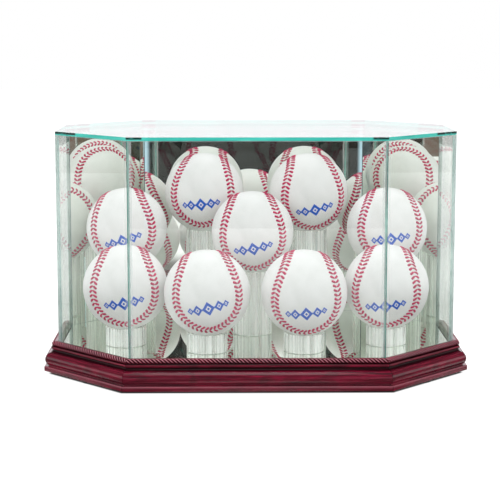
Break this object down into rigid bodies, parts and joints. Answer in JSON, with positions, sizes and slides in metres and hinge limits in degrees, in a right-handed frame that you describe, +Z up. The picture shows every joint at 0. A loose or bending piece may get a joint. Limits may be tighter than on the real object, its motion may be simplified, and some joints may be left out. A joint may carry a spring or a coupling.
{
  "type": "baseball display case",
  "caption": "Octagonal lift-off glass hood with mirrored back panes on a carved wood base, holding baseballs on stepped clear tubes.",
  "frame": {"origin": "on the table under the middle of the case, at the felt pads' lower faces", "axes": "+Z up, +X along the case's length to the right as seen from the front, the clear front pane faces -Y and the mirrors are at +Y"},
  "size_m": [0.3718, 0.2588, 0.212],
  "materials": {
    "cherry_wood": "dark cherry stain under gloss lacquer",
    "board": "bare fibreboard, dark edge",
    "clear_glass": "clear float glass with polished green edges",
    "mirror_glass": "silvered float glass, grey painted back",
    "clear_acrylic": "clear polished acrylic tube",
    "ball_leather": "white smooth leather, red stitches",
    "felt": "black felt"
  },
  "bodies": {
    "base": {"moulding_front": "cherry_wood", "moulding_front_right": "cherry_wood", "moulding_right": "cherry_wood", "moulding_back_right": "cherry_wood", "moulding_back": "cherry_wood", "moulding_back_left": "cherry_wood", "moulding_left": "cherry_wood", "moulding_front_left": "cherry_wood", "base_board": "board", "floor_mirror": "mirror_glass", "felt_pad_front_left": "felt", "felt_pad_front_right": "felt", "felt_pad_back_left": "felt", "felt_pad_back_right": "felt", "riser_front_left": "clear_acrylic", "riser_front_inner_left": "clear_acrylic", "riser_front_inner_right": "clear_acrylic", "riser_front_right": "clear_acrylic", "riser_middle_left": "clear_acrylic", "riser_middle_centre": "clear_acrylic", "riser_middle_right": "clear_acrylic", "riser_back_left": "clear_acrylic", "riser_back_right": "clear_acrylic"},
    "hood": {"glass_front": "clear_glass", "glass_front_right": "clear_glass", "glass_right": "clear_glass", "mirror_back_right": "mirror_glass", "mirror_back": "mirror_glass", "mirror_back_left": "mirror_glass", "glass_left": "clear_glass", "glass_front_left": "clear_glass", "glass_top": "clear_glass"},
    "ball_front_left": {"baseball_front_left": "ball_leather"},
    "ball_front_inner_left": {"baseball_front_inner_left": "ball_leather"},
    "ball_front_inner_right": {"baseball_front_inner_right": "ball_leather"},
    "ball_front_right": {"baseball_front_right": "ball_leather"},
    "ball_middle_left": {"baseball_middle_left": "ball_leather"},
    "ball_middle_centre": {"baseball_middle_centre": "ball_leather"},
    "ball_middle_right": {"baseball_middle_right": "ball_leather"},
    "ball_back_left": {"baseball_back_left": "ball_leather"},
    "ball_back_right": {"baseball_back_right": "ball_leather"}
  },
  "joints": [
    {"name": "hood_lift", "type": "slide", "parent": "base", "child": "hood", "axis": [0, 0, 1], "range_m": [0, 0.2]},
    {"name": "ball_front_left_turn", "type": "hinge", "parent": "base", "child": "ball_front_left", "pos_m": [-0.11437, -0.04365, 0.07572], "axis": [0, 0, 1], "continuous": true},
    {"name": "ball_front_inner_left_turn", "type": "hinge", "parent": "base", "child": "ball_front_inner_left", "pos_m": [-0.0425, -0.07265, 0.07572], "axis": [0, 0, 1], "continuous": true},
    {"name": "ball_front_inner_right_turn", "type": "hinge", "parent": "base", "child": "ball_front_inner_right", "pos_m": [0.0408, -0.07265, 0.07572], "axis": [0, 0, 1], "continuous": true},
    {"name": "ball_front_right_turn", "type": "hinge", "parent": "base", "child": "ball_front_right", "pos_m": [0.11439, -0.04364, 0.07572], "axis": [0, 0, 1], "continuous": true},
    {"name": "ball_middle_left_turn", "type": "hinge", "parent": "base", "child": "ball_middle_left", "pos_m": [-0.11787, 0.03375, 0.11772], "axis": [0, 0, 1], "continuous": true},
    {"name": "ball_middle_centre_turn", "type": "hinge", "parent": "base", "child": "ball_middle_centre", "pos_m": [-0.0025, 0.005, 0.11772], "axis": [0, 0, 1], "continuous": true},
    {"name": "ball_middle_right_turn", "type": "hinge", "parent": "base", "child": "ball_middle_right", "pos_m": [0.12199, 0.0334, 0.11772], "axis": [0, 0, 1], "continuous": true},
    {"name": "ball_back_left_turn", "type": "hinge", "parent": "base", "child": "ball_back_left", "pos_m": [-0.0471, 0.07265, 0.14652], "axis": [0, 0, 1], "continuous": true},
    {"name": "ball_back_right_turn", "type": "hinge", "parent": "base", "child": "ball_back_right", "pos_m": [0.0513, 0.07015, 0.14652], "axis": [0, 0, 1], "continuous": true}
  ]
}
